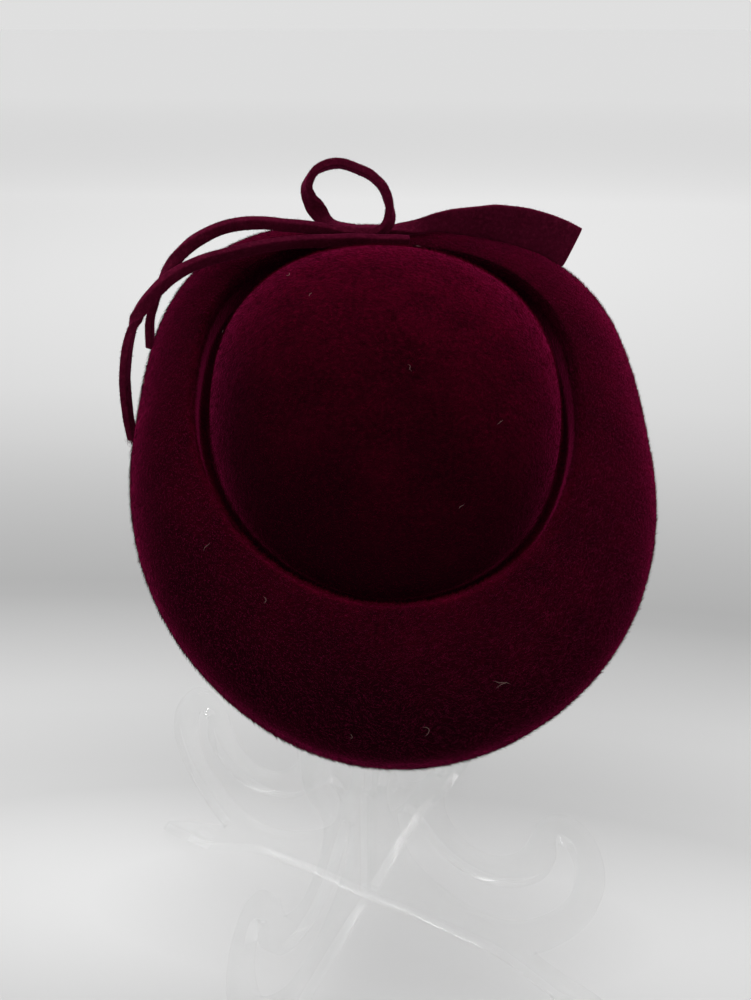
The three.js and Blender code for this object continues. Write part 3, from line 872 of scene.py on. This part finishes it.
# %% Finishes, bodies and the nodes that are replaced
PIECES = [
    (hat_felt, felt_body, "velour", "hat_body"),
    (strips["looped_trim"], felt_trim, "trim", "looped_strip"),
    (strips["front_trim"], felt_trim, "trim", "front_strip"),
    (plates["clear_plate_across"], clear_sheet, "clear_plate", "stand_plate_across"),
    (plates["clear_plate_along"], clear_sheet, "clear_plate", "stand_plate_along"),
    (naps["tip_nap"], nap_hair, "velour", None),
    (naps["band_nap_front"], band_hair, "velour", None),
    (naps["band_nap_back"], band_hair, "velour", None),
    (naps["lip_nap"], nap_hair, "velour", None),
    (naps["trim_nap"], trim_hair, "trim", None),
    (lint, lint_hair, "velour", None),
]
for piece, finish, slot, node in PIECES:
    piece.data.materials.clear()
    piece.data.materials.append(finish)
    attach(piece, "root")
    if node:
        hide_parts(node)
    print(piece.name, "faces", len(piece.data.polygons))

# %% [markdown]
# ## A pale floor
#
# One wide disc is floor and backdrop at once. Light and shade are painted into its colour and change with the
# distance from the stand: a painted pool of light around the feet, where the hat's shadow falls, a painted
# darker band and a slow painted rise to the bright far end. The distance sideways counts for less, and the
# whole is turned a little, so from the front the painted bands lie nearly straight.

# %% The floor and its bands of painted light
REACH, RINGS, SPOKES = 60.0, 40, 96
SQUEEZE, SLANT = 0.3, radians(6)
# metres from the stand, and the painted lightness there
PAINTED_FLOOR_LIGHT = [
    (0.04, 0.72), (0.084, 0.53), (0.15, 0.54), (0.2, 0.455), (0.27, 0.335), (0.345, 0.37),
    (0.434, 0.42), (0.541, 0.485), (0.677, 0.545), (1.093, 0.65), (1.969, 0.88), (5.133, 0.98),
]
FARTHEST = PAINTED_FLOOR_LIGHT[-1][0]


def floor_disc():
    """Rings of a disc whose radius grows by a steady factor, closed in the middle."""
    radius = np.geomspace(0.05, REACH, RINGS)
    angle = np.arange(SPOKES) * 2 * np.pi / SPOKES
    ring = np.stack([np.cos(angle), np.sin(angle), 0 * angle], -1)
    grid = np.concatenate([np.zeros((1, SPOKES, 3)), radius[:, None, None] * ring])
    places = np.concatenate([grid[:1, 0], grid[1:].reshape(-1, 3)]) + [*(stand_axis[:2] * MM), 0]
    k = np.arange(SPOKES)
    beside = (k + 1) % SPOKES
    fan = np.stack([np.zeros(SPOKES, int), 1 + k, 1 + beside], -1).tolist()
    row = np.arange(RINGS - 1)[:, None] * SPOKES + 1
    a, b = row + k, row + beside
    quads = np.stack([a, a + SPOKES, b + SPOKES, b], -1).reshape(-1, 4).tolist()
    return places, fan + quads


floor = new_piece("floor", *floor_disc())
stone = Paint("pale_floor", roughness=0.9, specular_ior_level=0.1)
where = stone.node("ShaderNodeMapping", {"Vector": stone.places(), "Location": tuple(-stand_axis * MM)})
where = stone.node("ShaderNodeVectorRotate", {"Vector": where, "Angle": SLANT}, rotation_type="Z_AXIS")
where = stone.node("ShaderNodeMapping", {"Vector": where, "Scale": (SQUEEZE, 1, 1)})
away = stone.node("ShaderNodeVectorMath", {0: where}, output="Value", operation="LENGTH")
# the floor's colour is its painted light and shade, read off by distance
painted_floor_light = stone.node("ShaderNodeValToRGB", {"Fac": away * (1 / FARTHEST)},
                  ramp=[(distance / FARTHEST, (value, value, value)) for distance, value in PAINTED_FLOOR_LIGHT])
floor.data.materials.append(stone.finish(base_color=painted_floor_light))
print("floor tones", len(PAINTED_FLOOR_LIGHT))

# %% [markdown]
# ## Light and camera
#
# A wide soft lamp overhead and behind lights the top of the tip and leaves the front of the band in its own
# shade, which the painted shade on the felt deepens. The camera looks down on
# the tipped crown.

# %% Lamp, sky and camera
SKY_GREY, LENS, SENSOR, LOOK_DOWN = 0.74, 33.75, 36, 27
CAMERA_PLACE = np.array([3, -299.7, 368.9])
scene = bpy.context.scene
scene.view_settings.view_transform = "Standard"
sky = bpy.data.worlds.new("white_sky")
sky.use_nodes = True
sky.node_tree.nodes["Background"].inputs["Color"].default_value = (SKY_GREY, SKY_GREY, SKY_GREY, 1)
sky.node_tree.nodes["Background"].inputs["Strength"].default_value = 1.0
scene.world = sky


def soft_lamp(name, place, aim, size, power):
    """A square lamp that faces a point."""
    lamp = bpy.data.lights.new(name, "AREA")
    lamp.shape, lamp.size, lamp.energy = "SQUARE", size, power
    holder = bpy.data.objects.new(name, lamp)
    scene.collection.objects.link(holder)
    holder.location = place
    way = np.array(aim, float) - place
    tilt = np.arctan2(np.hypot(way[0], way[1]), -way[2])
    holder.rotation_euler = (tilt, 0, np.arctan2(way[1], way[0]) - np.pi / 2)
    return holder


soft_lamp("overhead", place=(-0.15, 0.45, 1.5), aim=(0, 0, 0.2), size=1.8, power=20)
camera_data = bpy.data.cameras.new("camera")
camera_data.lens, camera_data.sensor_width = LENS, SENSOR
camera_data.clip_start, camera_data.clip_end = 0.01, 200
camera = bpy.data.objects.new("camera", camera_data)
scene.collection.objects.link(camera)
camera.location = (CAMERA_PLACE + stand_axis) * MM
camera.rotation_euler = (radians(90 - LOOK_DOWN), 0, 0)
scene.camera = camera
print("camera at", [round(v, 4) for v in camera.location])
